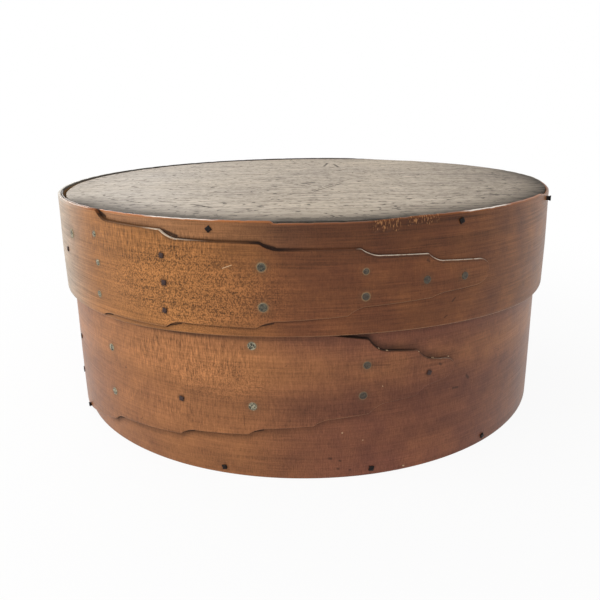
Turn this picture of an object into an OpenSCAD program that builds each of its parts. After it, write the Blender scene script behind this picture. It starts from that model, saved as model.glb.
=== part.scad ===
// Round bentwood pantry box with a slip-on lid.
// Millimetres, +Z up. The origin is the middle of the base's underside, and the laps face -Y.
// Angles go round the box from the front (-Y) towards the right (+X).

/* [Base] */
// Outside diameter of the base band, away from its lap
base_d = 239; // [180:1:320]
// Height of the base band
base_h = 97; // [80:1:130]
// Thickness of the bottom board
bottom_t = 7; // [6:0.5:10]

/* [Lid] */
// Depth of the lid band
lid_depth = 44; // [36:1:60]
// Thickness of the lid board
lid_board_t = 6.8; // [6:0.2:10]
// How far the rim of the lid band stands above the lid board
rim_lip = 0.4; // [0.2:0.1:1.5]
// Gap all round between the base's lap and the inside of the lid
lid_play = 0.8; // [0.7:0.1:2]

/* [Bent strips] */
// Thickness of a strip
band_t = 1.6; // [1.2:0.1:3]
// Thickness left at a strip's two feathered ends
feather_t = 0.6; // [0.4:0.1:1]
// Gap between the two layers of a lap
lap_gap = 0.1; // [0.05:0.05:0.2]
// Gap between a board's edge and the band round it
board_fit = 0.1; // [0.05:0.05:0.3]
// Chamfer on the edges of the boards
board_ease = 0.5; // [0.2:0.1:1.5]

/* [Laps] */
// Angle at which a strip's inner end lies
inner_end = -74; // [-82:1:-70]
// Angle over which a strip climbs onto its own inner end
climb = 24; // [14:1:40]
// Length of the concave cut at each step of a finger
scallop_len = 9; // [6:0.5:12]
// Share of each step that the concave cut takes
scallop_share = 0.8; // [0.5:0.05:1]
// The same share at the root of the base's finger, where the edge runs almost straight
root_share = 0.25; // [0.2:0.05:1]
// Length of the rounded end of a finger
tip_round = 6; // [3:0.5:9]
// Angle of the tip of the base's finger
base_tip = 29.8; // [26:0.2:34]
// Height of the middle of that tip above the foot of the base band
base_tip_rise = 41.6; // [36:0.2:50]
// Width of the base's finger at its tip
base_tip_w = 9.4; // [6:0.2:14]
// Angle of the tip of the lid's finger
lid_tip = 35.2; // [32:0.2:40]
// Height of the middle of that tip above the lower edge of the lid band
lid_tip_rise = 20; // [17:0.2:24]
// Width of the lid's finger at its tip
lid_tip_w = 10.4; // [6:0.2:12]

/* [Fasteners] */
// Diameter of a tack's head
tack_head_d = 3.2; // [2.4:0.1:4]
// Height of a tack's domed head
tack_head_h = 0.4; // [0.2:0.05:0.4]
// Diameter of a tack's shank
tack_shank_d = 1.4; // [1:0.1:2]
// Width of a square nail's head
nail_head_w = 2.2; // [1.8:0.1:3]
// Height of the head of a nail in a lap
nail_head_h = 0.5; // [0.3:0.1:0.9]
// Width of a square nail's shank
nail_shank_w = 1.3; // [1:0.1:1.6]
// Length of the clenched point of a tack or nail, which lies along the grain inside
clench_len = 3; // [2:0.25:4]
// Thickness of the clenched point
clench_t = 0.3; // [0.2:0.05:0.35]
// How far the head of a rim nail that has worked loose stands out
rim_nail_stand = 2; // [1:0.1:3]
// Length of a rim nail's shank
rim_nail_len = 16; // [10:0.5:25]
// Height of the rim nails above the foot of the base
base_nail_rise = 3; // [2:0.25:4]
// Depth of the rim nails below the rim of the lid
lid_nail_drop = 3.3; // [2:0.1:4]
// Clearance round a shank in its hole
hole_fit = 0.05; // [0.02:0.01:0.1]
// Clearance under a head or a clenched point
seat_fit = 0.04; // [0.02:0.01:0.1]

/* [Hidden] */
$fn = 144;

// Steps of a finger as [angle, share of the way from the band's edge to the tip's edge], root first.
// A third value is the share of that step which its own concave cut takes.
base_upper_steps = [
    [-62, 0, root_share], [-44.5, 0.18], [-25.2, 0.32], [-11.2, 0.47], [1, 0.62], [11.1, 0.75], [20.9, 0.89]
];
base_lower_steps = [
    [-62, 0, root_share], [-44.5, 0.25], [-25.2, 0.41], [-11.2, 0.53], [1, 0.65], [11.4, 0.75], [20.9, 0.88]
];
lid_upper_steps = [[-41.3, 0], [-25.2, 0.19], [-7.5, 0.36], [9.2, 0.54], [21.4, 0.74]];
lid_lower_steps = [[-42.9, 0], [-25.9, 0.16], [-8.3, 0.33], [7, 0.63], [22.3, 0.88]];

// Fasteners of the laps as [angle, share of the band's height]
base_tacks = [
    [-43.5, 0.458], [-43.9, 0.243], [-43.7, 0.672], [-9.6, 0.586], [-9.8, 0.328], [11.2, 0.496], [10.5, 0.368]
];
base_nails = [[-24.3, 0.322], [-61.6, 0.396], [-65.6, 0.186], [23.8, 0.426]];
lid_tacks = [
    [-52.3, 0.714], [-42.5, 0.782], [-42.2, 0.516], [-42.7, 0.211], [-7.1, 0.632], [-7, 0.293],
    [10.1, 0.58], [10.1, 0.368], [21.1, 0.461], [29.1, 0.445]
];
lid_nails = [[-25, 0.684], [-25.1, 0.448], [-25.4, 0.195], [-56.6, 0.527]];

// Nails through the bands into the edges of the boards as [angle, share of a loose nail's stand]
base_rim_angles = [
    [-64, 0.8], [-16.1, 0.3], [12.4, 0.25], [39.6, 0.3], [84, 0.35],
    [128, 0.25], [172, 0.3], [216, 0.4], [256, 0.3]
];
lid_rim_angles = [[-16.2, 0.25], [28.5, 0.3], [64.3, 1], [108, 0.35], [152, 0.25], [198, 0.45], [242, 0.3]];

// A lap stands this much outside the plain band, and is this thick
lap_rise = feather_t + lap_gap;
lap_t = band_t + lap_rise;
base_r = base_d / 2;
lid_r = base_r + lap_rise + lid_play + band_t;
climb_start = inner_end - climb;

// The lid board rests on the top edge of the base band
lid_top = base_h + lid_board_t + rim_lip;
lid_foot = lid_top - lid_depth;

// Angle between the stations along a strip
station = 2.5;
// How far cutting shapes run past what they cut
past = 4;
// Points along a concave cut and along half of a tip
scallop_points = 6;
tip_points = 6;
// Angles of a tip's rounded end at its shoulder, and where its cut leaves the band
tip_turn = 60;
tip_leave = 75;

function polar(r, a) = [r * sin(a), -r * cos(a)];

// Radius of a strip's outside and inside at an angle, which runs from its inner end round to its tip
function outside(r, tip, a) = lookup(a, [
    [inner_end, r - band_t + feather_t],
    [tip, r],
    [climb_start + 360, r],
    [inner_end + 360, r + lap_rise]
]);
function inside(r, tip, a) = lookup(a, [
    [climb_start + 360, r - band_t],
    [inner_end + 360, r - band_t + lap_rise],
    [tip + 360, r + lap_gap]
]);

// Radius of the bare surface at a band's edge: over the root of the finger, beside it or past it
function skin_r(r, tip, root, a) = a < root ? r + lap_rise : outside(r, tip, a);

// Stations from an angle to the first one past the tip of a finger
function stations(from, tip) = [for (a = from; a < tip + 2 * station; a = a + station) a];

function backwards(list) = [for (k = [len(list) - 1:-1:0]) list[k]];

// Stands its children on the side of the box, with +Z outwards and +Y up
module on_side(a, z, r) {
    rotate(a)
        translate([0, -r, z])
            rotate([90, 0, 0])
                children();
}

// The whole strip in plan: its thin inner end, one turn, the climb over that end, and the finger
module strip_plan(r, tip) {
    round_box = stations(inner_end, tip + 360);
    polygon(concat(
        [for (a = round_box) polar(outside(r, tip, a), a)],
        [for (a = backwards(round_box)) polar(inside(r, tip, a), a)]
    ));
}

// The space outside the inner layer of the lap, from the middle of the gap outwards
module outer_layer_plan(r, tip) {
    lap = stations(inner_end, tip + station);
    polygon(concat(
        [for (a = lap) polar(outside(r, tip, a) + lap_gap / 2, a)],
        [for (a = backwards(lap)) polar(r + lap_rise + past, a)]
    ));
}

// What a finger loses beside its edge, between two steps, measured inwards from the band's edge.
// Each side runs straight on past its step, so that it crosses the next cut there, and each cut
// ends at a height of its own, so that no two of them share a plane.
module scallop(r, from, to, reach) {
    middle = (from[0] + to[0]) / 2;
    start = [r * sin(from[0] - middle), reach * from[1]];
    end = [r * sin(to[0] - middle), reach * to[1]];
    share = is_undef(from[2]) ? scallop_share : from[2];
    drop = share * (end.y - start.y);
    cut = [for (k = [1:scallop_points])
        let (part = k / scallop_points)
        start + [scallop_len * part, drop * sin(90 * part)]];
    foot = cut[scallop_points - 1];
    lead_in = start - past * (cut[0] - start) / norm(cut[0] - start);
    lead_out = end + past * (end - foot) / norm(end - foot);
    clear = -2 * past - start.y;
    depth = r * (1 - cos(to[0] - middle)) + lap_t + past;
    on_side(middle, 0, r - depth)
        linear_extrude(depth + past)
            polygon(concat(
                [[lead_in.x, clear], lead_in],
                cut,
                [lead_out, [lead_out.x, clear]]
            ));
}

// All the cuts along one edge of a finger, up to the shoulder of its tip
module edge_cuts(r, tip, steps, reach) {
    shoulder = [tip - asin(tip_round / r), 1];
    path = concat(steps, [shoulder]);
    for (k = [1:len(path) - 1])
        scallop(r, path[k - 1], path[k], reach);
}

// What the finger loses round its tip, over the band's whole height
module tip_cut(r, h, tip, rise, w) {
    round_end = [for (k = [-tip_points:tip_points])
        let (turned = tip_leave * k / tip_points)
        [
            tip_round * (cos(turned) - 1) / (1 - cos(tip_turn)),
            rise + w / 2 * sin(turned) / sin(tip_turn)
        ]];
    depth = lap_t + past;
    on_side(tip, 0, r - depth)
        linear_extrude(depth + past)
            polygon(concat(
                [[2 * tip_round, -past], [round_end[0].x, -past]],
                round_end,
                [[round_end[0].x, h + past], [2 * tip_round, h + past]]
            ));
}

// One bent strip, with the finger at its outer end cut in steps along both edges
module strip(r, h, tip, rise, w, upper, lower) {
    lap_r = r + lap_rise;
    difference() {
        linear_extrude(h)
            strip_plan(r, tip);
        intersection() {
            translate([0, 0, -past])
                linear_extrude(h + 2 * past)
                    outer_layer_plan(r, tip);
            union() {
                edge_cuts(lap_r, tip, lower, rise - w / 2);
                translate([0, 0, h])
                    mirror([0, 0, 1])
                        edge_cuts(lap_r, tip, upper, h - rise - w / 2);
                tip_cut(lap_r, h, tip, rise, w);
            }
        }
    }
}

module tack_holes(r, h, places) {
    for (p = places)
        on_side(p[0], h * p[1], r - band_t - past)
            cylinder(d = tack_shank_d + 2 * hole_fit, h = lap_t + 2 * past);
}

module nail_holes(r, h, places) {
    for (p = places)
        on_side(p[0], h * p[1], r - band_t - past)
            square_bar(nail_shank_w + 2 * hole_fit, lap_t + 2 * past);
}

// Holes for the rim nails, deep enough for the point of the one that sits lowest
module rim_holes(r, z, places) {
    deep = rim_nail_len + band_t;
    for (p = places)
        on_side(p[0], z, r - deep)
            square_bar(nail_shank_w + 2 * hole_fit, deep + past);
}

module square_bar(w, h) {
    translate([-w / 2, -w / 2, 0])
        cube([w, w, h]);
}

// The bent point of a tack or nail, lying along the grain on the inside of the lap
module clench(w) {
    translate([-w / 2, -w / 2, -lap_t - seat_fit - clench_t])
        cube([clench_len, w, clench_t]);
}

// Tacks with low domed heads, standing on the outside of a lap
module tacks(r, h, places) {
    a = tack_head_d / 2;
    dome = (a * a + tack_head_h * tack_head_h) / (2 * tack_head_h);
    for (p = places)
        on_side(p[0], h * p[1], r + lap_rise)
            union() {
                translate([0, 0, seat_fit])
                    intersection() {
                        cylinder(d = tack_head_d, h = tack_head_h);
                        translate([0, 0, tack_head_h - dome])
                            sphere(r = dome);
                    }
                translate([0, 0, -lap_t - seat_fit - clench_t])
                    cylinder(d = tack_shank_d, h = lap_t + clench_t + 2 * seat_fit);
                clench(tack_shank_d);
            }
}

// Square nails with flat heads, clenched like the tacks
module nails(r, h, places) {
    for (p = places)
        on_side(p[0], h * p[1], r + lap_rise)
            union() {
                translate([0, 0, seat_fit])
                    square_bar(nail_head_w, nail_head_h);
                translate([0, 0, -lap_t - seat_fit - clench_t])
                    square_bar(nail_shank_w, lap_t + clench_t + 2 * seat_fit);
                clench(nail_shank_w);
            }
}

// Nails through a band into the edge of its board
module rim_nails(r, tip, root, z, places) {
    for (p = places) {
        stand = rim_nail_stand * p[1];
        on_side(p[0], z, skin_r(r, tip, root, p[0]) + seat_fit)
            union() {
                translate([0, 0, max(0, stand - nail_head_h)])
                    square_bar(nail_head_w, nail_head_h);
                translate([0, 0, stand - rim_nail_len])
                    square_bar(nail_shank_w, rim_nail_len);
            }
    }
}

// Round board with eased edges
module board(r, t) {
    rotate_extrude()
        polygon([
            [0, 0], [r - board_ease, 0], [r, board_ease],
            [r, t - board_ease], [r - board_ease, t], [0, t]
        ]);
}

module base_band() {
    color("#96613a")
        difference() {
            strip(
                base_r, base_h, base_tip, base_tip_rise, base_tip_w,
                base_upper_steps, base_lower_steps
            );
            tack_holes(base_r, base_h, base_tacks);
            nail_holes(base_r, base_h, base_nails);
            rim_holes(base_r, base_nail_rise, base_rim_angles);
        }
}

module bottom_board() {
    color("#a58a66")
        difference() {
            board(base_r - band_t - board_fit, bottom_t);
            rim_holes(base_r, base_nail_rise, base_rim_angles);
        }
}

module base_lap_tacks() {
    color("#8f9a86")
        tacks(base_r, base_h, base_tacks);
}

module base_lap_nails() {
    color("#37302b")
        nails(base_r, base_h, base_nails);
}

module base_rim_nails() {
    color("#2c2622")
        rim_nails(base_r, base_tip, base_lower_steps[0][0], base_nail_rise, base_rim_angles);
}

module lid_band() {
    color("#a56f3e")
        difference() {
            translate([0, 0, lid_foot])
                strip(
                    lid_r, lid_depth, lid_tip, lid_tip_rise, lid_tip_w,
                    lid_upper_steps, lid_lower_steps
                );
            translate([0, 0, lid_foot]) {
                tack_holes(lid_r, lid_depth, lid_tacks);
                nail_holes(lid_r, lid_depth, lid_nails);
            }
            rim_holes(lid_r, lid_top - lid_nail_drop, lid_rim_angles);
        }
}

module lid_board() {
    color("#85786a")
        difference() {
            translate([0, 0, base_h])
                board(lid_r - band_t - board_fit, lid_board_t);
            rim_holes(lid_r, lid_top - lid_nail_drop, lid_rim_angles);
        }
}

module lid_lap_tacks() {
    color("#8f9a86")
        translate([0, 0, lid_foot])
            tacks(lid_r, lid_depth, lid_tacks);
}

module lid_lap_nails() {
    color("#37302b")
        translate([0, 0, lid_foot])
            nails(lid_r, lid_depth, lid_nails);
}

module lid_rim_nails() {
    color("#2c2622")
        rim_nails(lid_r, lid_tip, lid_upper_steps[0][0], lid_top - lid_nail_drop, lid_rim_angles);
}

base_band();
bottom_board();
base_lap_tacks();
base_lap_nails();
base_rim_nails();
lid_band();
lid_board();
lid_lap_tacks();
lid_lap_nails();
lid_rim_nails();
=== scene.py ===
"""Looks of a round bentwood pantry box: two lapped hoops, two boards and their tacks and nails.

Everything is in metres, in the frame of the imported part. Angles go round the box in degrees, from
the front (-Y) towards the right (+X).
"""
import math
from dataclasses import dataclass

import bmesh
import bpy
import numpy as np
from mathutils import Matrix, Vector, noise


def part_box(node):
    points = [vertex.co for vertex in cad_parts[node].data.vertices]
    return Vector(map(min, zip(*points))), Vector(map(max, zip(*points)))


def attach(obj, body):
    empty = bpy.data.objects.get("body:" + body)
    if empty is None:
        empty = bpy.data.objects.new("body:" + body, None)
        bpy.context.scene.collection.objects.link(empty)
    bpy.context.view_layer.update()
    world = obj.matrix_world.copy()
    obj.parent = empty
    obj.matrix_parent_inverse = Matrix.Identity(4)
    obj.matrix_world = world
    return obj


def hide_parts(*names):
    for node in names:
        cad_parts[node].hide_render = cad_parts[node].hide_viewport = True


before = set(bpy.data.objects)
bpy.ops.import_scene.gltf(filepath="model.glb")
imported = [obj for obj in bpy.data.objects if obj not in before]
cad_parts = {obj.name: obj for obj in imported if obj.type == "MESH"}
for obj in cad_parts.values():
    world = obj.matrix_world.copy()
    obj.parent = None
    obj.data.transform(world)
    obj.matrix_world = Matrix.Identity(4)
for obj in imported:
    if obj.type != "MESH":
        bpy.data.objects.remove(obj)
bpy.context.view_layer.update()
MM = 0.001


# Sizes taken from the frame

def back_radius(node):
    """Radius of the plain back of a hoop, away from its lap."""
    points = np.array([v.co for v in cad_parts[node].data.vertices])
    reach = np.hypot(points[:, 0], points[:, 1])
    return float(reach[points[:, 1] > 0.7 * reach].max())


BASE_R = back_radius("base_band")
LID_R = back_radius("lid_band")
BASE_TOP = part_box("base_band")[1].z
LID_FOOT, LID_TOP = (corner.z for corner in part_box("lid_band"))
BOTTOM_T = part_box("bottom_board")[1].z
BOARD_LOW, BOARD_TOP = (corner.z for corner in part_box("lid_board"))

# Sizes of the bent strips
BAND_T = 1.6 * MM
FEATHER_T = 0.6 * MM
LAP_GAP = 0.1 * MM
LAP_RISE = FEATHER_T + LAP_GAP
# The dressed hoops lie this far inside the solids, which leaves room for their unevenness
SKIN = 0.1 * MM
WAVE = 0.07 * MM
INNER_END = -74
CLIMB_START = INNER_END - 24
# Length of the curved cut at each step of a finger, and roundness of a strip's edges on and off the lap
STEP_LEN = 8 * MM
LAP_CORNER = 0.2 * MM
CORNER = 0.4 * MM
# Turns of a rounded corner, and the most of a strip's thickness or width that it takes
QUARTER = np.radians([0, 30, 60, 90])
CORNER_SHARE = 0.42
# The outer layer thins from this angle on, to a share of its rise at the tip
THIN_FROM = -20
TIP_SHARE = 0.75
TORN_DEPTH = 0.4 * MM
# How softly a step begins, as a share of it, and how full the round tip of a finger is
STEP_START = 0.13
TIP_FULLNESS = 0.9
# Heights over which a lean and a spread fade out
LEAN_REACH = 30 * MM
SPREAD_REACH = 65 * MM
# Steps of a hoop's mesh in degrees, and where its plain back starts
LAP_STEP, CLIMB_STEP, BESIDE_STEP, BACK_STEP = 0.3, 0.6, 0.8, 1.5
BACK_START = 70


def smooth_between(low, high, value):
    """0 below low and 1 above high, with a smooth rise."""
    share = np.clip((value - low) / (high - low), 0, 1)
    return share * share * (3 - 2 * share)


@dataclass
class Hoop:
    """One bent strip: where it stands, its finger, its fasteners, and the heights of its edges.

    Steps of the finger are (angle, height before the step, height after it), with the height at the
    tip's shoulder after them. Fasteners are (angle, height, size against the usual head). All these
    heights are millimetres above the foot. A lean draws the rim of the hoop inwards, and a spread
    lets its foot out.
    """

    radius: float
    foot: float
    top: float
    lean: float
    spread: float
    tip: float
    shoulder: float
    upper: list
    lower: list
    tacks: list
    nails: list

    def inside(self, along):
        """Radius of the inner face along the strip, whose lap goes on past 360 degrees."""
        r = self.radius
        return np.interp(
            along,
            [CLIMB_START + 360, INNER_END + 360, self.tip + 360],
            [r - BAND_T, r - BAND_T + LAP_RISE, r + LAP_GAP],
        )

    def outside(self, along):
        """Radius of the outer face along the strip."""
        r = self.radius
        return np.interp(
            along,
            [INNER_END, self.tip, CLIMB_START + 360, INNER_END + 360, THIN_FROM + 360, self.tip + 360],
            [r - BAND_T + FEATHER_T, r, r, r + LAP_RISE, r + LAP_RISE, r + TIP_SHARE * LAP_RISE],
        )

    def drawn_in(self, z):
        """How far the lean and the spread move the strip inwards at a height."""
        let_out = self.spread * (1 - smooth_between(self.foot, self.foot + SPREAD_REACH, z))
        return self.lean * smooth_between(self.top - LEAN_REACH, self.top, z) - let_out

    def stepped(self, steps, angle):
        """Height of one edge of the finger, before the tip rounds it off."""
        *steps, shoulder_height = steps
        reach = math.degrees(STEP_LEN / self.radius)
        nexts = [step[:2] for step in steps[1:]] + [(self.shoulder, shoulder_height)]
        height = np.full(len(angle), float(steps[0][1]))
        for (start, before, after), (end, next_before) in zip(steps, nexts):
            part = np.clip((angle - start) / reach, 0, 1)
            fall = np.sin(part * math.pi / 2) * (1 - np.exp(-((part / STEP_START) ** 2)))
            run = np.clip((angle - start - reach) / (end - start - reach), 0, 1)
            here = before + (after - before) * fall + (next_before - after) * run
            height = np.where(angle >= start, here, height)
        return self.foot + height * MM

    def finger(self, angle):
        """Lower and upper edge of the finger at angles from its root to its tip."""
        low, high = self.stepped(self.lower, angle), self.stepped(self.upper, angle)
        past = np.clip((angle - self.shoulder) / (self.tip - self.shoulder), 0, 1)
        middle, half = (low + high) / 2, (high - low) / 2 * np.sqrt(1 - past**2) ** TIP_FULLNESS
        return middle - half, middle + half


BASE = Hoop(
    BASE_R - SKIN, 0, BASE_TOP, lean=0, spread=0.75 * MM, tip=29.8, shoulder=26.4,
    upper=[
        (-62, 97, 96), (-44.5, 87.9, 82.2), (-25.2, 80.8, 74.7), (-11.2, 73.2, 67.1),
        (1, 65.6, 61.3), (11.1, 58.9, 53.3), (20.9, 51.8, 47), 46.2,
    ],
    lower=[
        (-64, 0, 2.2), (-45.2, 9.2, 12.6), (-25.4, 15, 18), (-11.2, 19.4, 22.3),
        (1, 23.7, 26.4), (11.4, 27.6, 31.4), (20.9, 32.4, 36.2), 37,
    ],
    tacks=[
        (-43.5, 44.4, 1), (-43.9, 23.6, 1.02), (-43.7, 65.2, 1), (-9.6, 56.8, 1.05), (-9.8, 31.8, 1.05),
        (11.2, 48.1, 0.95), (10.5, 35.7, 0.95),
    ],
    nails=[(-24.3, 31.2, 0.9), (-63.8, 36.8, 1), (-67.2, 16.6, 1), (23.8, 41.3, 0.85)],
)
LID = Hoop(
    LID_R - SKIN, LID_FOOT, LID_TOP, lean=0.65 * MM, spread=0, tip=35.9, shoulder=32.2,
    upper=[
        (-42.4, 44, 40.3), (-25.9, 39.6, 36.6), (-7.7, 36.4, 34), (9.2, 33.8, 31), (21.4, 30.2, 26.8),
        25.4,
    ],
    lower=[
        (-43.3, 0, 1.9), (-25.9, 1.9, 4.7), (-8.5, 4.8, 7.4), (7, 9, 12.2), (22.4, 13, 14.4), 14.8,
    ],
    tacks=[
        (-54, 30.7, 1.2), (-43.2, 34, 0.75), (-42.7, 22.4, 0.75), (-43.3, 8.9, 0.8), (-7.1, 27.8, 1),
        (-7, 12.9, 1.05), (10.3, 25.5, 0.7), (10.3, 16.2, 0.9), (21.5, 20.3, 0.95), (29.6, 19.6, 0.95),
    ],
    nails=[(-25.4, 30, 0.9), (-25.2, 19.7, 0.9), (-25.5, 8.6, 0.88), (-58.2, 22.4, 0.9)],
)

# Rim nails as (angle, how far the head stands out in millimetres, twist in degrees)
BASE_RIM_NAILS = [
    (-61, 1.1, 10), (-16.1, 0.55, 12), (12.4, 0.5, -8), (39.6, 0.55, 20), (84, 0.65, 5), (128, 0.5, -15),
    (172, 0.6, 8), (216, 0.75, 30), (256, 0.55, -6),
]
LID_RIM_NAILS = [
    (-16.2, 0.5, 40), (28.5, 0.55, 25), (62.4, 1.8, 0), (108, 0.65, 12), (152, 0.5, -20), (198, 0.85, 6),
    (242, 0.55, 33),
]
BASE_NAIL_RISE = 3 * MM
LID_NAIL_DROP = 3.3 * MM


# Meshes

def at(angle, radius, z):
    """Points at angles round the box."""
    turned = np.radians(angle)
    return np.stack(np.broadcast_arrays(radius * np.sin(turned), -radius * np.cos(turned), z), -1)


def uneven(points, scale, seed):
    """Smooth noise between -1 and 1 at each point."""
    shift = Vector((seed, 0, 0))
    flat = np.reshape(points, (-1, 3)) * scale
    return np.reshape([noise.noise(Vector(p) + shift) for p in flat], np.shape(points)[:-1])


def put(name, data):
    """A new object in the scene."""
    made = bpy.data.objects.new(name, data)
    bpy.context.scene.collection.objects.link(made)
    return made


def make_object(name, points, faces, uv=None, layers=None):
    """A closed mesh with faces turned outwards, a UV map of strip lengths, and named values on points."""
    mesh = bpy.data.meshes.new(name)
    mesh.from_pydata([tuple(p) for p in points], [], [tuple(f) for f in faces])
    for label, values in (layers or {}).items():
        layer = mesh.attributes.new(label, "FLOAT", "POINT")
        layer.data.foreach_set("value", np.asarray(values, np.float32).ravel())
    if uv is not None:
        corners = np.zeros(len(mesh.loops), np.int32)
        mesh.loops.foreach_get("vertex_index", corners)
        mesh.uv_layers.new(name="strip").data.foreach_set("uv", uv[corners].astype(np.float32).ravel())
    grid = bmesh.new()
    grid.from_mesh(mesh)
    bmesh.ops.recalc_face_normals(grid, faces=grid.faces)
    grid.to_mesh(mesh)
    grid.free()
    mesh.shade_smooth()
    return put(name, mesh)


def ring_faces(rings, loop):
    """Quads of a grid of closed rings, with a cap on the first and the last."""
    faces = [range(loop), range((rings - 1) * loop, rings * loop)]
    for i in range(rings - 1):
        for j in range(loop):
            k = (j + 1) % loop
            faces.append((i * loop + j, i * loop + k, (i + 1) * loop + k, (i + 1) * loop + j))
    return faces


def from_front(angle):
    """The same angle between -180 and 180."""
    return (angle + 180) % 360 - 180


def plain(angle, z=None):
    """No change anywhere."""
    return np.zeros(np.shape(angle))


def lid_foot_bow(angle):
    """The lower edge of the lid is a little bowed at the front."""
    middle, rise, fall, least = 8, 1.4, 2.4, -1
    off = np.abs(from_front(angle - middle))
    bow = np.maximum(least, rise - fall * (1 - np.cos(np.radians(2 * np.minimum(off, 90)))))
    return bow * (1 - smooth_between(75, 115, off)) * MM


def stretch(value, start, full, fading, end):
    """1 on a stretch of values, with a smooth rise and fall at its ends."""
    return smooth_between(start, full, value) * (1 - smooth_between(fading, end, value))


# Wear of the lid's rim as (start, full, fading, end, depth in millimetres): low at the front, chipped on
# the right, and worn down behind that
LID_RIM_WEAR = [(-5.6, -4.9, 9, 21, 0.85), (57, 64, 76, 92, 0.8), (56, 62, 148, 170, 0.85)]
NICK_DEPTH = 0.14
# Gnawed groups under the lid's rim as (start, end, height in millimetres)
LID_TORN = [(11.2, 17.4, 5), (17.4, 24.4, 3.4)]


def lid_rim_drop(angle):
    """The rim of the lid is nicked and worn."""
    turned = from_front(angle)
    drop = NICK_DEPTH * np.maximum(0, np.sin(turned * 1.7) * np.sin(turned * 0.61 + 1))
    for *ends, depth in LID_RIM_WEAR:
        drop = drop + depth * stretch(turned, *ends)
    return drop * MM


def lid_torn(angle, z):
    """How torn the lid is by gnawing under its rim, in groups of ragged upright strokes."""
    turned = from_front(angle)
    ragged = z - 0.6 * MM * np.sin(turned * 3.1)
    total = 0
    for start, end, height in LID_TORN:
        foot = LID_TOP - height * MM
        torn = stretch(turned, start, start + 0.6, end - 1.5, end)
        total = total + torn * smooth_between(foot, foot + MM, ragged)
    return total * (0.75 + 0.5 * uneven(at(angle, LID_R, z * 0.3), 700, 5.5))


def round_corner(edge, face, corner, side, rise, turns):
    """A rounded corner between a face and an edge, as (radius, height) pairs."""
    return [
        (face + side * corner * (1 - math.cos(turn)), edge + rise * corner * (1 - math.sin(turn)))
        for turn in turns
    ]


def hoop_mesh(name, hoop, shares, foot_bow, rim_drop, torn):
    """The bent strip from its thin inner end, once round the box, and on over that end to its tip."""
    past_tip = hoop.tip + 1.5
    inner = np.arange(INNER_END, past_tip, LAP_STEP)
    beside = np.arange(past_tip, BACK_START, BESIDE_STEP)
    back = np.arange(BACK_START, CLIMB_START + 360, BACK_STEP)
    climb = np.arange(CLIMB_START + 360, INNER_END + 360, CLIMB_STEP)
    lap = np.arange(INNER_END + 360, hoop.shoulder + 359.9, LAP_STEP)
    rounding = np.sin(np.radians(np.linspace(0, 86, 18)))
    tip = hoop.shoulder + 360 + (hoop.tip - hoop.shoulder) * rounding
    along = np.concatenate([inner, beside, back, climb, lap, tip])
    outer = along >= INNER_END + 360
    angle = np.where(outer, along - 360, along)
    low = hoop.foot + foot_bow(angle)
    high = hoop.top - rim_drop(angle)
    finger_low, finger_high = hoop.finger(angle)
    low = np.where(outer, np.maximum(low, finger_low), low)
    high = np.where(outer, np.minimum(high, finger_high), high)
    inside, outside = hoop.inside(along), hoop.outside(along)
    eased = np.where(angle > hoop.lower[0][0], LAP_CORNER, CORNER)
    room = CORNER_SHARE * np.minimum(outside - inside, high - low)
    corner = np.minimum(np.where(outer, eased, CORNER), room)

    clear = high - low - 2 * corner
    outer_side = [(outside, low + corner + clear * share) for share in shares]
    outer_side += round_corner(high, outside, corner, -1, -1, QUARTER)
    inner_side = round_corner(high, inside, corner, 1, -1, QUARTER[::-1])
    inner_side += [(inside, low + corner + clear * share) for share in shares[::-3]]
    inner_side += round_corner(low, inside, corner, 1, 1, QUARTER)
    outer_foot = round_corner(low, outside, corner, -1, 1, QUARTER[::-1])
    ring = outer_side + inner_side + outer_foot
    on_inside = [0.0] * len(outer_side) + [1.0] * len(inner_side) + [0.0] * len(outer_foot)

    loop = len(ring)
    radius, z = (np.stack(part, 1) for part in zip(*ring))
    spread = np.repeat(angle[:, None], loop, 1)
    inner_face = np.tile(on_inside, (len(along), 1))
    torn_here = torn(spread, z)
    wave = WAVE * uneven(at(spread, radius, z * 0.5), 38, 3.1)
    hollow = hoop.drawn_in(z) + TORN_DEPTH * torn_here * (1 - inner_face)
    points = at(spread, radius + wave - hollow, z).reshape(-1, 3)

    layers = {
        "outer_layer": np.broadcast_to(outer[:, None], radius.shape),
        "inner_face": inner_face,
        "above_finger": z - finger_high[:, None],
        "below_finger": finger_low[:, None] - z,
        "before_tip": 1 - smooth_between(hoop.tip - 0.5, hoop.tip + 0.6, spread),
        "from_low": z - low[:, None],
        "from_high": high[:, None] - z,
        "torn": torn_here,
    }
    length = np.repeat(hoop.radius * np.radians(along)[:, None], loop, 1)
    uv = np.stack([length, z], -1).reshape(-1, 2)
    return make_object(name, points, ring_faces(len(along), loop), uv, layers)


def board_mesh(name, radius, low, high, ease, sag, seed, shrink):
    """A turned board with worn edges, as closed rings round a profile from the underside to the top."""
    segments = 240
    angle = np.linspace(-180, 180, segments, endpoint=False)
    rings = [(radius * share, low) for share in (0.06, 0.25, 0.5, 0.75, 0.94)]
    rings += round_corner(low, radius, ease, -1, 1, QUARTER[::-1])
    rings += round_corner(high, radius, ease, -1, -1, QUARTER)
    rings += [(radius * share, high) for share in np.linspace(0.985, 0.02, 48)]
    points = np.concatenate([at(angle, r - shrink(angle) * r / radius, z) for r, z in rings])
    waves = 0.6 * uneven(points * [0.35, 1, 1], 60, seed)
    waves += 0.4 * uneven(points * [0.6, 1, 1], 160, seed + 7)
    on_top = points[:, 2] > (low + high) / 2
    points[:, 2] -= np.where(on_top, sag * (0.5 + 0.5 * waves), 0)
    return make_object(name, points, ring_faces(len(rings), segments))


def lid_board_shrink(angle):
    """The lid's board has shrunk away from its hoop on the left."""
    return 1.5 * MM * (1 - smooth_between(5, 55, np.abs(from_front(angle + 92))))


# Shader maths

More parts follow.
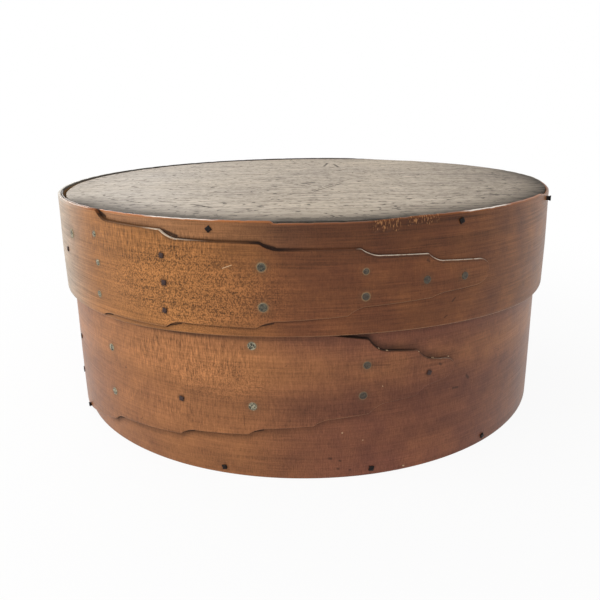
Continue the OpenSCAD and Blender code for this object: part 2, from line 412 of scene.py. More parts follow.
def linear(colour):
    """Linear colour of a screen colour from 0 to 255."""
    parts = [c / 255 for c in colour]
    return tuple(c / 12.92 if c <= 0.04045 else ((c + 0.055) / 1.055) ** 2.4 for c in parts)


def operation(kind):
    """A method that adds one Math node."""
    return lambda self, other=0.0: self.math(kind, self, other)


class Value:
    """A socket of a node tree, with arithmetic that adds Math nodes."""

    def __init__(self, nodes, socket):
        self.nodes = nodes
        self.socket = socket

    def math(self, kind, first, second):
        return self.nodes.node("ShaderNodeMath", {0: first, 1: second}, operation=kind)

    def __rsub__(self, other):
        return self.math("SUBTRACT", other, self)

    __add__ = __radd__ = operation("ADD")
    __mul__ = __rmul__ = operation("MULTIPLY")
    __sub__ = operation("SUBTRACT")
    __truediv__ = operation("DIVIDE")
    __pow__ = operation("POWER")
    bigger = operation("MAXIMUM")
    smaller = operation("MINIMUM")
    size = operation("ABSOLUTE")
    root = operation("SQRT")

    def between(self, low, high):
        """0 below low and 1 above high, with a smooth rise."""
        sockets = {"Value": self, "From Min": low, "From Max": high}
        return self.nodes.node("ShaderNodeMapRange", sockets, interpolation_type="SMOOTHSTEP")

    def hump(self, middle, reach):
        """1 at a value, falling smoothly to 0 at a reach on both sides."""
        return 1 - ((self - middle) / reach).size().between(0.0, 1.0)

    def along_front(self, stops):
        """A strength from stops of (angle, strength), which keeps its end values round the back."""
        grey = [((angle + 90) / 180, (strength,) * 3) for angle, strength in stops]
        return self.nodes.node("ShaderNodeValToRGB", {"Fac": (self + 90) / 180}, stops=grey)


class Nodes:
    """A node tree, with one method that adds any node to it."""

    def __init__(self, tree):
        self.tree = tree

    def node(self, kind, sockets=None, output=0, **settings):
        made = self.tree.nodes.new(kind)
        for label, value in settings.items():
            if label == "stops":
                self.set_stops(made.color_ramp, value)
            else:
                setattr(made, label, value)
        for label, value in (sockets or {}).items():
            for each in value if isinstance(value, list) else [value]:
                self.feed(made.inputs[label], each)
        return Value(self, made.outputs[output])

    def set_stops(self, ramp, stops):
        first, *middle, last = stops
        for element, (place, colour) in zip(ramp.elements, (first, last)):
            element.position = place
            element.color = (*colour, 1)
        for place, colour in middle:
            ramp.elements.new(place).color = (*colour, 1)

    def feed(self, socket, value):
        if isinstance(value, Value):
            self.tree.links.new(value.socket, socket)
        elif socket.type == "RGBA":
            socket.default_value = (*value, 1)
        else:
            socket.default_value = value

    def split(self, vector):
        parts = self.node("ShaderNodeSeparateXYZ", {0: vector}).socket.node
        return [Value(self, part) for part in parts.outputs]

    def join(self, x, y, z):
        return self.node("ShaderNodeCombineXYZ", {"X": x, "Y": y, "Z": z})

    def show(self, output, unseen, seen, share=1.0):
        """Shows one shader to the camera and in reflections, by a share, and another to all other light."""
        rays = self.node("ShaderNodeLightPath").socket.node.outputs
        kinds = ("Is Camera Ray", "Is Glossy Ray", "Is Transmission Ray")
        camera_ray, glossy, through = (Value(self, rays[kind]) for kind in kinds)
        share = camera_ray.bigger(glossy).bigger(through) * share
        both = self.node("ShaderNodeMixShader", {0: share, 1: unseen, 2: seen})
        self.feed(self.tree.nodes[output].inputs["Surface"], both)


class Finish(Nodes):
    """One material, whose colour is built up in coats."""

    def __init__(self, name, **constants):
        self.material = bpy.data.materials.new(name)
        self.material.use_nodes = True
        super().__init__(self.material.node_tree)
        self.shader = self.tree.nodes["Principled BSDF"]
        for label, value in constants.items():
            self.shader.inputs[label.replace("_", " ")].default_value = value

    def set(self, label, value):
        self.feed(self.shader.inputs[label], value)

    def place(self):
        """Object coordinates, and their three parts."""
        vector = self.node("ShaderNodeTexCoord", output="Object")
        return vector, *self.split(vector)

    def turned(self, x, y):
        """Angle round the box in degrees, from -180 to 180."""
        return x.math("ARCTAN2", x, 0.0 - y) * math.degrees(1)

    def layer(self, name):
        """A value kept on the points of the mesh."""
        return self.node("ShaderNodeAttribute", output="Fac", attribute_name=name)

    def clouds(self, vector, scale, detail=3.0, rough=0.55):
        """Noise with 0 as its middle, mostly within 0.25 of it."""
        sockets = {"Vector": vector, "Scale": scale, "Detail": detail, "Roughness": rough}
        return self.node("ShaderNodeTexNoise", sockets) - 0.5

    def mix(self, first, second, share, blend="MIX"):
        """Colour that goes from the first to the second, which are values or screen colours."""
        first, second = (each if isinstance(each, Value) else linear(each) for each in (first, second))
        sockets = {0: share, 6: first, 7: second}
        return self.node("ShaderNodeMix", sockets, 2, data_type="RGBA", blend_type=blend)

    def times(self, colour, factor):
        """Colour made lighter or darker by a factor."""
        grey = self.node("ShaderNodeCombineColor", {0: factor, 1: factor, 2: factor})
        return self.mix(colour, grey, 1.0, "MULTIPLY")

    def begin(self, first, second, share):
        """The first coat, which goes from one colour to another."""
        self.colour = self.mix(first, second, share)

    def deepen(self, factor):
        """Makes the coats so far lighter or darker."""
        self.colour = self.times(self.colour, factor)

    def paint(self, colour, share):
        """Another colour over the coats so far."""
        self.colour = self.mix(self.colour, colour, share)

    def done(self, roughness, relief, depth):
        """The material with its coats, its roughness, and a relief from 0 to 1 over a depth in metres."""
        sockets = {"Height": relief, "Strength": 1.0, "Distance": depth}
        self.set("Base Color", self.colour)
        self.set("Roughness", roughness)
        self.set("Normal", self.node("ShaderNodeBump", sockets))
        return self.material

    def nearest(self, across, up, places):
        """Distance to the nearest of some places, measured by the size of each."""
        least = None
        for side, level, size in places:
            apart = ((across - side) * (across - side) + (up - level) * (up - level)).root() / size
            least = least.smaller(apart) if least else apart
        return least

    def strokes(self, across, up, lines):
        """1 along straight marks, which are (start, end, half width), fading to 0 at their sides."""
        total = None
        for (x0, y0), (x1, y1), width in lines:
            run, rise = x1 - x0, y1 - y0
            square = run * run + rise * rise
            share = (across - x0) * (run / square) + (up - y0) * (rise / square)
            share = share.bigger(0.0).smaller(1.0)
            side, over = across - x0 - share * run, up - y0 - share * rise
            mark = 1 - (side * side + over * over).root().between(0.2 * width, width)
            total = total.bigger(mark) if total else mark
        return total


# Finishes

# Where the back of a rim is darkest
DARK_RIM = math.radians(-157)

# Strengths along the front are stops of (angle, strength). Patches are (angle, its reach, height, its
# reach) and can have a fifth value, their strength. Marks are ((angle, height), (angle, height), half
# width). Heights and half widths are millimetres, and heights are counted from the foot. Colours are
# screen colours.
NOWHERE = [(-90, 0), (90, 0)]
LID_LOOK = dict(
    golden=(161, 107, 59), red=(104, 60, 38),
    gold=[
        (-90, 0.5), (-62, 0.8), (-45, 0.95), (-37, 1), (-22, 0.92), (-16, 0.65), (-10, 0.52), (-4, 0.28),
        (1, 0.2), (12, 0.16), (34, 0.28), (45, 0.4), (58, 0.52), (90, 0.5),
    ],
    gold_level=(20, 40, 0),
    painted_left_sheen=0.62,
    streaks=[(22, 44, 42, 17)],
    strip=[(-60, 0), (-46, 0.1), (-38, 0.3), (-26, 0.28), (-18, 0.16), (-5, 0.1), (3, 0)],
    # Patches of painted shade, and of painted light where their strength is below 0
    shade_and_light=[(10, 44, 45, 22, 0.45), (-4, 26, 3, 17, -0.3), (-16, 14, 36, 8, -0.12)],
    stipple=[(-22, 30, 18, 26)], stipple_strength=0.8,
    curl=[(-37, 16, 33, 14), (-20, 12, 34, 9)], curl_scale=(2100.0, 330.0), curl_strength=1.6,
    # The lid's pale left rim colour is painted glare
    halo=0.4, figure=0.6, grain=1.0, left_rim=(212, 206, 194), back_rim=(132, 123, 111),
    shadow_haze=0.4, shadow_haze_reach=1.8 * MM,
    upper_dirt_and_shade=[
        (-46, 0), (-43, 1), (-39, 0.7), (-27, 0.6), (-25, 1), (-20, 0.9), (-13, 0.6), (-10, 0.7), (-8, 1),
        (-4, 1), (0, 0.5), (3, 0.25), (8, 0.2), (9.2, 0.6), (20, 0.5), (34, 0.3), (36, 0),
    ],
    upper_shine=[
        (-46, 0), (-40, 0.05), (-30, 0.2), (-27, 0.9), (-24.5, 1), (-22, 0.8), (-19, 0.4), (-16, 0), (8.6, 0),
        (9.8, 0.95), (33, 1), (35, 0.2), (37, 0),
    ],
    lower_dirt_and_shade=[
        (-46, 0), (-43.5, 1), (-36, 0.9), (-30, 1), (-25, 1), (-21, 1), (-15, 0.75), (-8, 0.7),
        (-1, 0.5), (6, 0.25), (20, 0.3), (33, 0.4), (36, 0),
    ],
    lower_shine=[
        (-46, 0), (-40, 0.5), (-20, 0.3), (-12, 0.1), (-4, 0.4), (2, 0.5), (30, 0.5), (35, 0.4), (37, 0),
    ],
    rim_wear=[
        (-90, 0.1), (-60, 0.1), (-50, 0.2), (-44, 0.5), (-39, 0.9), (-30, 0.8), (-10, 0.7), (-6, 0.5),
        (2, 0.35), (10, 0.25), (26, 0.3), (30, 0.6), (50, 0.4), (90, 0.1),
    ],
    rim_bright=[(-30, 0), (-27, 1), (-18, 1), (-14, 0), (28.5, 0), (30.5, 1), (39, 1), (42, 0)],
    foot_wear_and_highlight=[
        (-90, 0.2), (-74, 0.8), (-48, 0.8), (-40, 0.4), (-16, 0.4), (-6, 0.2), (2, 0.65), (45, 0.95),
        (70, 0.5), (90, 0.2),
    ],
    under_lid_dirt_and_shade=NOWHERE,
    # The first dark mark is painted shade and dirt in the notch at the finger's root
    dark_marks=[
        ((-42, 43.8), (-40.8, 42), 0.8), ((-24.9, 27.6), (-25.7, 7.8), 0.2),
        ((21.4, 27.6), (21.8, 27.2), 0.6), ((27.9, 11.2), (27.3, 10), 0.5),
        ((26.3, 4.7), (25.7, 4), 0.4), ((-27.2, 26.2), (-26.8, 26.8), 0.5),
    ],
    pale_marks_and_glints=[((-13.8, 26.9), (-12.2, 28.2), 0.22)],
    crevices=[
        ((-41.8, 43.4), (-39.8, 41.6), 1), ((-25.2, 39.1), (-22.4, 37.3), 1.1),
        ((-7.2, 36), (-4.8, 34.6), 0.6), ((-42.8, 0.4), (-40.4, 1), 0.7),
        ((-25.2, 2.3), (-22.6, 3.8), 0.5), ((-7.9, 5.3), (-5.4, 6.5), 0.5),
    ],
)
BASE_LOOK = dict(
    golden=(167, 111, 68), red=(108, 64, 50),
    gold=[
        (-90, 0.5), (-62, 0.6), (-44, 0.72), (-28, 0.82), (-12, 0.66), (-4, 0.4), (5, 0.23), (14, 0.14),
        (34, 0.2), (48, 0.32), (62, 0.4), (90, 0.5),
    ],
    gold_level=(47, 15, 0.25),
    painted_left_sheen=0,
    streaks=[],
    strip=NOWHERE,
    # Patches of painted shade, and of painted light where their strength is below 0
    shade_and_light=[
        (-24, 42, 2, 19, 0.15), (28, 34, 4, 24, -0.2), (10, 32, 0, 12, -0.3), (4, 32, 40, 16, 0.12),
        (2, 26, 22, 8, -0.12),
    ],
    stipple=[(-16, 16, 42, 14)], stipple_strength=0.34,
    curl=[(-23, 24, 50, 17), (-28, 24, 27, 15, 0.5)], curl_scale=(2500.0, 300.0), curl_strength=1.6,
    halo=0.2, figure=0.9, grain=0.65, left_rim=(92, 66, 48), back_rim=(70, 54, 42),
    shadow_haze=0.7, shadow_haze_reach=4.4 * MM,
    upper_dirt_and_shade=[
        (-64, 0), (-60, 0.4), (-20, 0.7), (4, 1), (12, 1), (17, 1), (19.5, 0.8), (21.5, 0.5), (24, 0.8),
        (28, 0.55), (31, 0),
    ],
    upper_shine=[
        (-64, 0), (-40, 0.2), (10, 0.05), (14, 0.2), (20, 0.1), (24, 0.2), (27, 0.5), (28.5, 0.3), (31, 0),
    ],
    lower_dirt_and_shade=[
        (-50, 0), (-45, 0.9), (-40, 0.5), (-27, 0.5), (-24, 0.9), (-12, 0.6), (-10, 0.8), (-2, 0.5),
        (8, 0.3), (12, 0.1), (31, 0),
    ],
    lower_shine=[(-50, 0), (0, 0.2), (2, 0.5), (12, 0.5), (16, 0.2), (31, 0)],
    rim_wear=[(-90, 0.4), (90, 0.4)],
    rim_bright=NOWHERE,
    foot_wear_and_highlight=[(-90, 0), (-70, 0.3), (-30, 0.3), (-10, 0), (90, 0)],
    under_lid_dirt_and_shade=[(-90, 0.4), (-60, 0.7), (-24, 0.9), (-12, 0.55), (-2, 0.35), (6, 0.2), (20, 0.15), (90, 0.4)],
    dark_marks=[
        ((-23.6, 59.5), (-23.9, 51.5), 0.22), ((-11.5, 27.6), (-11.6, 23.2), 0.2),
        ((-31.7, 42.6), (-23.9, 42.6), 0.12), ((12.1, 48), (15.6, 47.2), 0.25),
        ((26.2, 44), (26.5, 43.6), 0.8), ((33.5, 35.2), (34, 34), 1), ((30, 31.5), (31.2, 31.2), 0.8),
        ((4.3, 9), (4.6, 8.9), 0.9), ((6.2, 7.8), (6.4, 7.6), 0.7), ((-9.2, 40), (-8, 39.9), 0.2),
        ((5.8, 4.2), (6, 4.1), 0.7), ((8.1, 3.3), (8.3, 3.2), 0.6),
    ],
    pale_marks_and_glints=[
        ((6.65, 20), (6.75, 20), 0.35), ((10.6, 16.1), (10.7, 16.1), 0.25), ((19, 1.6), (19.2, 1.5), 0.4),
        # From (13.3, 54.5) on, these are painted glints along the finger's upper edge
        ((14.2, 38.9), (14.25, 38.6), 0.2), ((13.3, 54.5), (13.5, 54.3), 0.16),
        ((14.8, 53.3), (15.1, 53.2), 0.14), ((21.3, 51.1), (21.5, 50.8), 0.16),
        ((24.4, 47.2), (24.9, 47), 0.18), ((28.3, 46.1), (28.5, 46), 0.24),
    ],
    crevices=[
        ((-44.8, 9.8), (-42, 11.6), 0.45), ((-25, 15.5), (-22.2, 17.1), 0.45),
        ((-10.8, 19.9), (-8, 21.4), 0.45),
    ],
)


def hoop_wood(name, hoop, look):
    """Varnished hardwood of a hoop: worn gold to red-brown, with curl, flecks, dirt and worn edges, and
    painted shade, highlights and glints.
    """
    finish = Finish(name, Specular_IOR_Level=0.2)
    where, x, y, z = finish.place()
    turned = finish.turned(x, y)
    along, height, _ = finish.split(finish.node("ShaderNodeUVMap", uv_map="strip"))
    outer, inner_face = finish.layer("outer_layer"), finish.layer("inner_face")
    from_low, from_high = finish.layer("from_low"), finish.layer("from_high")
    per_degree = hoop.radius * math.radians(1)

    def front(label):
        return turned.along_front(look[label])

    def grain(along_scale, height_scale, detail=3.0, rough=0.55):
        vector = finish.join(along * along_scale, height * height_scale, outer * 0.37)
        return finish.clouds(vector, 1.0, detail, rough)

    def spot(angle, level):
        return angle * per_degree, hoop.foot + level * MM

    def patches(places):
        total = 0.0
        for middle, reach, level, rise, *strength in places:
            patch = turned.hump(middle, reach) * z.hump(hoop.foot + level * MM, rise * MM)
            total = patch * (strength or [1.0])[0] + total
        return total

    def marks(lines):
        placed = [(spot(*start), spot(*end), width * MM) for start, end, width in lines]
        return finish.strokes(turned * per_degree, z, placed)

    def beside(distance, label):
        """Painted shade and dirt in the corner beside an edge, with a fainter painted shadow spreading
        further off.
        """
        core = 1 - distance.between(0.2 * MM, 0.85 * MM)
        shadow_haze = (1 - distance.between(0.4 * MM, look["shadow_haze_reach"])) * look["shadow_haze"]
        return (distance + 0.5 * MM).between(0.0, 0.3 * MM) * core.bigger(shadow_haze) * front(label)

    cloud = finish.clouds(where, 24.0, 4.0, 0.6)
    blotch = finish.clouds(where, 95.0, 3.0, 0.6)
    gold = (turned + cloud * 26).along_front(look["gold"]) + cloud * 0.4 + blotch * 0.25
    level, rise, more = look["gold_level"]
    gold = gold + z.hump(hoop.foot + level * MM, rise * MM) * more
    finish.begin(look["red"], look["golden"], gold.between(0.0, 1.0))
    # Painted sheen: the left side of a hoop painted paler and greyer
    left_side = turned.between(-128.0, -78.0) * (1 - turned.between(-66.0, -42.0))
    finish.paint((198, 186, 166), left_side * look["painted_left_sheen"])

    # Grain along the strip, and across it the curl and flecks of the figure
    lines = grain(24.0, 950.0, 4.0, 0.65)
    hairs = grain(70.0, 2600.0, 2.0)
    broad = grain(7.0, 130.0)
    curl = grain(*look["curl_scale"], 2.0, 0.6)
    flecks = grain(2000.0, 1600.0, 1.0, 0.5).between(-0.16, 0.16) - 0.5
    curl_share = (patches(look["curl"]) + cloud * 0.6).between(0.1, 0.75)
    fleck_share = (patches(look["stipple"]) + cloud * 0.6).between(0.1, 0.75)
    streaky = patches(look["streaks"])
    tone = 1 + lines * (look["grain"] + streaky * 1.1) + hairs * look["grain"] * 0.85
    tone = tone + broad * (0.6 + streaky) + blotch * 0.45
    tone = tone + curl * (look["figure"] + curl_share * look["curl_strength"])
    tone = tone + flecks * (0.14 + fleck_share * look["stipple_strength"])
    strip = (1 - outer) * finish.layer("above_finger").between(0.0, 0.6 * MM)
    finish.paint((170, 134, 110), strip * front("strip"))
    # The grain's tone, darkened by patches of painted shade and lightened by patches of painted light
    finish.deepen(tone.bigger(0.15) * (1 - patches(look["shade_and_light"])))
    pores = grain(420.0, 700.0, 2.0).between(0.2, 0.3)
    finish.paint((52, 30, 20), pores * 0.5)

    # Dirt that has gathered against the finger with painted shade over it, and the worn edges of the finger
    # itself with painted highlights on them
    ragged = finish.clouds(where, 420.0, 2.0) * 0.7 * MM
    over = finish.layer("above_finger") + ragged * 0.4
    under = finish.layer("below_finger") + ragged * 0.4
    # Painted shade and dirt in the corners beside the finger's edges and in its crevices, in one dark colour
    dirt_and_shade = beside(over, "upper_dirt_and_shade").bigger(beside(under, "lower_dirt_and_shade"))
    dirt_and_shade = dirt_and_shade.bigger(marks(look["crevices"]) * 0.95) * (1 - outer) * finish.layer("before_tip")
    finish.paint((30, 19, 14), dirt_and_shade * 0.95)
    # Painted shade and dirt in a ring on the base, just under the lid's foot
    ring = (z + ragged).hump(LID_FOOT - 0.7 * MM, 1.5 * MM) * front("under_lid_dirt_and_shade")
    finish.paint((40, 24, 17), ring * 0.8)
    upper_edge = 1 - (from_high + ragged * 0.5).between(0.08 * MM, 0.34 * MM)
    lower_edge = 1 - (from_low + ragged * 0.5).between(0.12 * MM, 0.5 * MM)
    # Painted highlights along the finger's edges, partly worn pale edges; noise breaks up the upper one
    rubbed = (finish.clouds(where, 900.0, 2.0) + 0.1).between(-0.12, 0.08) * 0.75 + 0.25
    upper_shine = outer * upper_edge * front("upper_shine") * rubbed
    lower_shine = outer * lower_edge * front("lower_shine")
    finish.paint((228, 214, 194), upper_shine * 0.9)
    finish.paint((168, 124, 88), lower_shine * 0.7)
    # Painted shade and dirt darken the top of the finger's edge where no highlight is painted
    dull = front("upper_dirt_and_shade") * (1 - front("upper_shine"))
    grime_and_shade = outer * (1 - (from_high + ragged * 0.5).between(0.3 * MM, 0.7 * MM)) * dull
    finish.paint((40, 24, 16), grime_and_shade)
    # A darker line painted just under the painted highlight
    dark_under_highlight = outer * from_high.hump(0.75 * MM, 0.45 * MM) * front("upper_shine")
    finish.paint((40, 24, 17), dark_under_highlight * 0.55)

    # Rim and foot, where handling has worn the varnish through, with painted glare and glints on the rim and
    # a painted highlight along the foot
    at_rim = (z - hoop.top + 1.6 * MM).between(0.0, 0.5 * MM)
    rim = at_rim * (1 - (from_high + ragged).between(0.25 * MM, 0.9 * MM))
    rim = rim * front("rim_wear") * (1 - dirt_and_shade)
    finish.paint((190, 112, 58), rim * 0.85)
    out = (x * x + y * y).root()
    behind = turned.size().between(52.0, 85.0) * at_rim
    finish.paint(look["back_rim"], behind * 0.93)
    away = (x * math.sin(DARK_RIM) - y * math.cos(DARK_RIM)) / out
    finish.paint((54, 44, 37), away.between(0.68, 0.92) * at_rim * 0.93)
    # On the lid the pale left rim is painted glare
    finish.paint(look["left_rim"], turned.hump(-92, 52) * at_rim * 0.9)
    climb = (BAND_T - LAP_RISE + LAP_GAP) / (hoop.tip - INNER_END)
    meeting = (turned - INNER_END) * climb + (hoop.radius - hoop.lean - BAND_T + LAP_RISE)
    root = hoop.upper[0][0]
    seam = at_rim * turned.along_front([(-90, 0), (-80, 1), (root - 2, 1), (root + 1, 0)])
    seam = seam * (1 - (out - meeting).size().between(0.12 * MM, 0.42 * MM))
    finish.paint((38, 30, 25), seam * 0.85)
    across = out - hoop.radius + hoop.lean + BAND_T
    finish.paint((40, 28, 21), at_rim * (1 - across.between(0.25 * MM, 0.7 * MM)) * 0.85)
    lip = across.between(0.45 * MM, 0.75 * MM)
    glint = at_rim * upper_edge * lip * front("rim_bright")
    finish.paint((246, 238, 226), glint * 0.92)
    # A paler line along the foot, partly wear and partly a painted highlight
    heel = (1 - outer) * lower_edge * front("foot_wear_and_highlight")
    finish.paint((178, 138, 100), heel * 0.7)
    torn = finish.layer("torn")
    fibres = grain(2100.0, 560.0, 2.0).between(0.02, 0.12)
    finish.paint((60, 32, 20), torn * 0.3)
    finish.paint((198, 140, 90), torn.between(0.2, 0.7) * fibres * 0.62)

    # Stains round the fasteners with a painted shadow round the tacks, the marks of use, and painted glints
    # among the pale marks
    to_tack, to_nail = (
        finish.nearest(turned * per_degree, z, [(*spot(angle, level), size) for angle, level, size in places])
        for places in (hoop.tacks, hoop.nails)
    )
    halo = (to_tack + ragged * 0.5).hump(1.75 * MM, 0.45 * MM) * (1 - turned.between(11.0, 22.0) * 0.85)
    shadow = 1 - to_tack.between(1.4 * MM, 4.5 * MM)
    rust = 1 - (to_nail + ragged).between(0.9 * MM, 2.6 * MM)
    finish.paint((184, 160, 118), halo * outer * look["halo"])
    finish.paint((74, 60, 46), shadow * outer * 0.25)
    finish.paint((34, 24, 22), rust * outer * 0.5)
    finish.paint((38, 22, 16), marks(look["dark_marks"]) * 0.6)
    # Pale marks of use, and painted glints on the base finger's upper edge
    finish.paint((222, 188, 148), marks(look["pale_marks_and_glints"]) * 0.75)

    inside = finish.times((170, 132, 88), 1 + lines * 0.4 + broad * 0.7 + blotch * 0.4)
    bare = inner_face * (from_high - 0.7 * MM).between(0.0, 0.8 * MM)
    finish.paint(inside, bare)
    worn = rim.bigger(upper_shine)
    satin = 0.38 + cloud * 0.2 - lines * 0.15 + dirt_and_shade * 0.3 - worn * 0.08 + torn * 0.2 + grime_and_shade * 0.6
    figure = lines * 0.5 + curl * (0.2 + curl_share * 0.5) + flecks * (0.06 + fleck_share * 0.14)
    relief = figure + broad * 0.5 - dirt_and_shade * 0.5 - pores * 0.3 + torn * fibres
    return finish.done(satin + inner_face * 0.28, relief, depth=0.1 * MM)


# Marks on the lid's board as ((x, y), (x, y), half width) in millimetres
LID_BOARD_MARKS = [
    ((-61, -69), (-54, -72), 1.2), ((-46, -78), (-37, -87), 1.4), ((0, -16), (5, -13), 2),
    ((13, 67), (16, 87), 1.2), ((20, 79), (22, 60), 1.2), ((5, -45), (19, -18), 0.7),
    ((4, -42), (26, 2), 0.4), ((8, -103), (13, -115), 1), ((100, 12), (110, 6), 1.6),
    ((79, -62), (90, -63), 1.4), ((86, -43), (88, -43), 2),
]


def board_wood(name, light, dark, radius, wear, marks):
    """Softwood of a board, with its grain along X, and as much dirt and wear as it has seen, with darker
    edges that are partly painted shade.
    """
    finish = Finish(name, Specular_IOR_Level=0.1)
    where, x, y, z = finish.place()

    def grain(along_scale, across_scale, detail=3.0, rough=0.6):
        return finish.clouds(finish.join(x * along_scale, y * across_scale, z * 30.0), 1.0, detail, rough)

    cloud = finish.clouds(where, 15.0, 4.0, 0.6)
    stretched = finish.join(x * 0.25, y + cloud * 0.02, z)
    wave = {"Vector": stretched, "Scale": 48.0, "Distortion": 2.0, "Detail": 2.0}
    rings = finish.node("ShaderNodeTexWave", wave, wave_type="BANDS", bands_direction="Y")
    fine, streaks, coarse = grain(60.0, 900.0, 3.0, 0.7), grain(95.0, 340.0), grain(16.0, 90.0)
    mottle = finish.clouds(where, 420.0, 3.0, 0.6)
    share = 0.6 + (rings - 0.5) * 0.15 + streaks * 0.8 + coarse * 0.7 + cloud * 0.8 + mottle * 1.2
    finish.begin(dark, light, share.between(0.0, 1.0))
    # Painted shade: a little darker towards the left end
    left_end = (0.0 - x / radius).between(0.0, 0.7)
    finish.deepen(1 + fine * 0.5 - left_end * 0.1)

    # Dirt: short dashes along the grain, and a ragged dark edge at the front and the right that is partly
    # painted shade
    turned = finish.turned(x, y)
    dark_edge_share = (turned - 25).along_front(
        [(-90, 0.12), (-84, 0.7), (-78, 0.95), (-60, 1), (60, 1), (78, 0.9), (90, 0.12)]
    )
    out = (x * x + y * y).root() - radius
    ragged = streaks * 16 * MM + mottle * 14 * MM + coarse * 8 * MM
    reach = 29 * MM
    inwards = ((out + reach + ragged) / reach).bigger(0.0).smaller(1.0)
    edge = inwards * inwards * dark_edge_share * 0.97
    # Painted shade darkens the right end
    right_end = (x / radius).between(0.4, 1.05) * 0.38
    by_rim = turned.along_front(
        [
            (-90, 0), (-60, 0.05), (-50, 0.3), (-44, 0.8), (-15, 0.9), (-12, 0.4), (-6, 0.45), (-4, 0.9),
            (12, 0.9), (30, 0.5), (60, 0.2), (90, 0),
        ]
    )
    sill = (out + 11.5 * MM + mottle * 14 * MM + streaks * 8 * MM).between(0.0, 5 * MM) * by_rim
    sill = sill.bigger((out + 1.5 * MM + mottle * 4 * MM).between(0.0, 1.5 * MM))
    more = inwards * dark_edge_share * 0.08
    dashes = (grain(260.0, 330.0, 2.0, 0.5) + more).between(0.13, 0.18)
    cracks = (grain(110.0, 640.0, 2.0, 0.5) + more).between(0.14, 0.18)
    dirt_and_shade = edge.bigger(right_end).bigger(sill * 0.9).bigger(dashes * 0.75).bigger(cracks * 0.55)
    if marks:
        placed = [((x0 * MM, y0 * MM), (x1 * MM, y1 * MM), w * MM) for (x0, y0), (x1, y1), w in marks]
        broken = (finish.clouds(where, 520.0, 2.0) * 3 + 0.75).bigger(0.0).smaller(1.0)
        dirt_and_shade = dirt_and_shade.bigger(finish.strokes(x, y, placed) * broken)
    # The dirt and the painted shade in one dark colour
    finish.paint((34, 29, 26), dirt_and_shade * wear)
    rough = 0.5 + cloud * 0.3 - fine * 0.2 + dirt_and_shade * 0.25
    return finish.done(rough, fine * 0.4 + streaks * 0.6 - dirt_and_shade * 0.5, depth=0.16 * MM)


def copper_green():
    """Copper tack heads gone dull grey-green, paler where the rim is rubbed."""
    finish = Finish("copper_tack", Metallic=0.25)
    where, x, _, z = finish.place()
    patina = finish.clouds(where, 1100.0, 4.0, 0.65)
    spots = finish.clouds(where, 2600.0, 2.0)
    rubbed = 1 - (finish.layer("middle") + patina * 0.9).between(0.1, 0.4)
    rubbed = rubbed * (1 - x.between(24 * MM, 44 * MM) * 0.85)
    finish.begin((46, 42, 34), (104, 98, 80), patina.between(-0.14, 0.14))
    finish.paint((176, 166, 136), rubbed * 0.8)
    finish.paint((52, 42, 32), spots.between(0.1, 0.2) * 0.8)
    finish.paint((62, 44, 34), x.between(0.0, 25 * MM) * 0.5)
    on_base = (1 - z.between(66 * MM, 68 * MM)) * (0.0 - x).between(2 * MM, 15 * MM)
    pale = on_base.bigger((0.0 - x).between(50 * MM, 80 * MM))
    finish.paint((186, 178, 150), pale * patina.between(-0.08, 0.1) * 0.8)
    return finish.done(0.5 + patina * 0.4, patina, depth=0.1 * MM)


def iron_dark():
    """Dark iron of cut nails, a little rusty."""
    finish = Finish("iron_nail", Metallic=0.2, Specular_IOR_Level=0.2)
    where, _, _, z = finish.place()
    rust = finish.clouds(where, 1100.0, 4.0, 0.65)
    finish.begin((14, 11, 11), (54, 36, 29), rust.between(-0.05, 0.2))
    between_rims = z.between(9 * MM, 13 * MM) * (1 - z.between(93 * MM, 97 * MM))
    finish.paint((88, 68, 64), between_rims * 0.6)
    return finish.done(0.55 + rust * 0.5, rust, depth=0.15 * MM)


# Fasteners, repeated by node trees

HEAD_AND_SHANK = ["Head width", "Head height", "Shank width", "Grip"]
CLENCHED_POINT = ["Clench length", "Clench height"]
DENT_SEED = 2.7
# A tack's head is flatter the lower this is
PILLOW = 0.55


